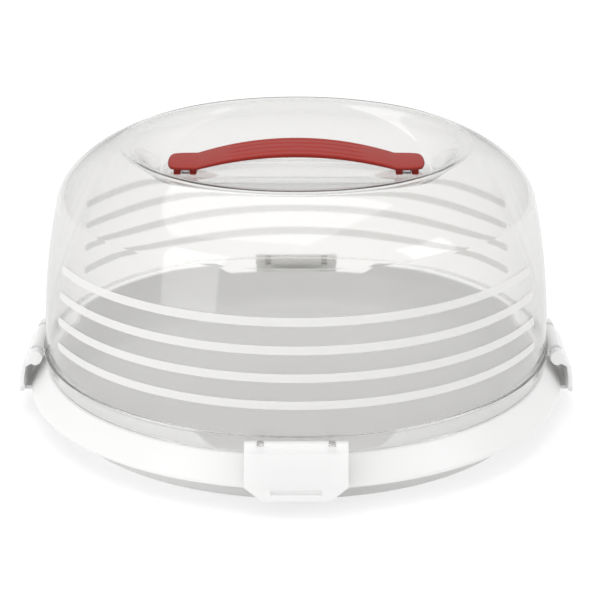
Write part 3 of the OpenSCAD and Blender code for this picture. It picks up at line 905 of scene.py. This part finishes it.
def merged_copy(name, node):
    """A merged copy of a CAD node's mesh with its flat faces joined."""
    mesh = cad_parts[node].data.copy()
    mesh.materials.clear()
    work = bmesh.new()
    work.from_mesh(mesh)
    bmesh.ops.remove_doubles(work, verts=work.verts, dist=1e-6)
    bmesh.ops.dissolve_limit(work, angle_limit=math.radians(0.5), verts=work.verts,
                             edges=work.edges)
    work.to_mesh(mesh)
    work.free()
    mesh.polygons.foreach_set("use_smooth", np.ones(len(mesh.polygons), bool))
    piece = bpy.data.objects.new(name, mesh)
    bpy.context.scene.collection.objects.link(piece)
    return piece


class CAKECARRIER_OT_clips(bpy.types.Operator):
    """Build the four clips with soft edges"""
    bl_idname = "cake_carrier.clips"
    bl_label = "Clips"

    def execute(self, context):
        """Each clip is the CAD shape with its sharp edges made round."""
        for side in CLIPS:
            piece = merged_copy(f"{side}_clip_moulding", f"clip_{side}")
            piece.data.materials.append(clip_plastic(context))
            soften(piece, 0.0004)
            finish_piece(piece, f"{side}_clip", "clip_plastic", f"clip_{side}")
        return {"FINISHED"}


# Studio

def softbox(name, place, target, width, height, radiance):
    """A rectangular lamp at place that faces target, as bright as radiance."""
    lamp = bpy.data.lights.new(name, "AREA")
    lamp.shape = "RECTANGLE"
    lamp.size = width
    lamp.size_y = height
    lamp.energy = radiance * math.pi * width * height
    stand = bpy.data.objects.new(name, lamp)
    bpy.context.scene.collection.objects.link(stand)
    stand.location = place
    aim = Vector(target) - Vector(place)
    stand.rotation_euler = aim.to_track_quat("-Z", "Y").to_euler()


def studio_world(colours):
    """A white world for the camera and for what is seen through the lid, and a dimmer
    one for reflections and for soft light."""
    world = bpy.data.worlds.new("Studio")
    bpy.context.scene.world = world
    world.use_nodes = True
    tree = world.node_tree
    tree.nodes.clear()
    path = tree.nodes.new("ShaderNodeLightPath")
    seen = tree.nodes.new("ShaderNodeMath")
    seen.operation = "MAXIMUM"
    soft, mirror, white = [
        new_node(tree, "ShaderNodeBackground", Color=(1, 1, 1, 1), Strength=level)
        for level in (colours.sky_light, colours.sky_mirror, 1.0)]
    first = tree.nodes.new("ShaderNodeMixShader")
    second = tree.nodes.new("ShaderNodeMixShader")
    out = tree.nodes.new("ShaderNodeOutputWorld")
    link = tree.links.new
    link(path.outputs["Is Glossy Ray"], first.inputs["Fac"])
    link(soft.outputs[0], first.inputs[1])
    link(mirror.outputs[0], first.inputs[2])
    link(path.outputs["Is Camera Ray"], seen.inputs[0])
    link(path.outputs["Is Transmission Ray"], seen.inputs[1])
    link(seen.outputs[0], second.inputs["Fac"])
    link(first.outputs[0], second.inputs[1])
    link(white.outputs[0], second.inputs[2])
    link(second.outputs[0], out.inputs["Surface"])


def floor_material(colours):
    """Pale floor that takes the object's shadow. For the camera, in reflections and
    through the lid it is darker but glows, so that it meets the backdrop and the shadow
    is faint."""
    material = bpy.data.materials.new("Studio floor")
    material.use_nodes = True
    tree = material.node_tree
    tree.nodes.clear()
    path = tree.nodes.new("ShaderNodeLightPath")
    some = tree.nodes.new("ShaderNodeMath")
    some.operation = "MAXIMUM"
    seen = tree.nodes.new("ShaderNodeMath")
    seen.operation = "MAXIMUM"
    tone = tree.nodes.new("ShaderNodeMix")
    tone.data_type = "RGBA"
    tone.inputs["A"].default_value = (*colours.floor_bounce, 1)
    tone.inputs["B"].default_value = (*colours.floor, 1)
    diffuse = tree.nodes.new("ShaderNodeBsdfDiffuse")
    glow = new_node(tree, "ShaderNodeEmission", Color=(1, 1, 1, 1))
    strength = tree.nodes.new("ShaderNodeMath")
    strength.operation = "MULTIPLY"
    strength.inputs[1].default_value = colours.floor_glow
    both = tree.nodes.new("ShaderNodeAddShader")
    out = tree.nodes.new("ShaderNodeOutputMaterial")
    link = tree.links.new
    link(path.outputs["Is Camera Ray"], some.inputs[0])
    link(path.outputs["Is Transmission Ray"], some.inputs[1])
    link(some.outputs[0], seen.inputs[0])
    link(path.outputs["Is Glossy Ray"], seen.inputs[1])
    link(seen.outputs[0], tone.inputs["Factor"])
    link(tone.outputs["Result"], diffuse.inputs["Color"])
    link(seen.outputs[0], strength.inputs[0])
    link(strength.outputs[0], glow.inputs["Strength"])
    link(diffuse.outputs[0], both.inputs[0])
    link(glow.outputs[0], both.inputs[1])
    link(both.outputs[0], out.inputs["Surface"])
    return material


class CAKECARRIER_OT_studio(bpy.types.Operator):
    """Build the floor, the soft lights and the camera"""
    bl_idname = "cake_carrier.studio"
    bl_label = "Studio"

    def execute(self, context):
        """A round floor, turned from a flat path, softboxes round the object and the
        camera of the photograph."""
        colours = context.scene.cake_carrier_colours
        points, faces = turned([0, 0.5, 2.0, 6.0, 6.0, 0], [0, 0, 0, 0, -0.01, -0.01], 96)
        floor = put_mesh("studio_floor", points, faces, floor_material(colours))
        softbox("Top light", (-0.25, 0.1, 1.5), (0, 0, 0.1), 1.4, 1.4, 1.15)
        softbox("Left light", (-0.62, -0.62, 0.33), (-0.06, -0.06, 0.08), 0.42, 0.62, 1.6)
        softbox("Right light", (1.0, -0.5, 0.6), (0.05, 0, 0.1), 0.5, 0.6, 2.0)
        studio_world(colours)
        data = bpy.data.cameras.new("Camera")
        data.sensor_width = 36
        data.lens = 114.18
        data.shift_x = 0.0063
        data.shift_y = -0.0262
        data.clip_start = 0.05
        data.clip_end = 50
        camera = bpy.data.objects.new("Camera", data)
        context.scene.collection.objects.link(camera)
        camera.location = (0, -1.1278, 0.486)
        camera.rotation_euler = (math.radians(90 - 19.98), 0, 0)
        context.scene.camera = camera
        context.scene.view_settings.view_transform = "Standard"
        return {"FINISHED"}


class CAKECARRIER_PT_panel(bpy.types.Panel):
    """Sidebar panel with the sizes, the colours and the pieces"""
    bl_label = "Cake carrier"
    bl_idname = "CAKECARRIER_PT_panel"
    bl_space_type = "VIEW_3D"
    bl_region_type = "UI"
    bl_category = "Cake carrier"

    def draw(self, context):
        """Lists every size and colour, and a button for each piece."""
        for name in GROUPS:
            box = self.layout.box()
            group = getattr(context.scene, name)
            for key in group.__annotations__:
                box.prop(group, key)
        for operator in OPERATORS:
            self.layout.operator(operator.bl_idname)


GROUPS = {
    "cake_carrier_tray": CakeCarrierTraySizes,
    "cake_carrier_lid": CakeCarrierLidSizes,
    "cake_carrier_handle": CakeCarrierHandleSizes,
    "cake_carrier_hinges": CakeCarrierHingeSizes,
    "cake_carrier_colours": CakeCarrierColours,
}
OPERATORS = (
    CAKECARRIER_OT_studio,
    CAKECARRIER_OT_base_tray,
    CAKECARRIER_OT_lid_shell,
    CAKECARRIER_OT_frosted_bands,
    CAKECARRIER_OT_lid_lugs,
    CAKECARRIER_OT_handle,
    CAKECARRIER_OT_clips,
)


def register():
    """Registers the sizes, the pieces and the panel."""
    for cls in (*GROUPS.values(), *OPERATORS, CAKECARRIER_PT_panel):
        bpy.utils.register_class(cls)
    for name, cls in GROUPS.items():
        setattr(bpy.types.Scene, name, PointerProperty(type=cls))


def unregister():
    """Takes the panel, the pieces and the sizes out again."""
    for name in GROUPS:
        delattr(bpy.types.Scene, name)
    for cls in reversed((*GROUPS.values(), *OPERATORS, CAKECARRIER_PT_panel)):
        bpy.utils.unregister_class(cls)


def main():
    """Builds every piece in order."""
    register()
    for operator in OPERATORS:
        group, name = operator.bl_idname.split(".")
        getattr(getattr(bpy.ops, group), name)()


if __name__ == "__main__":
    main()
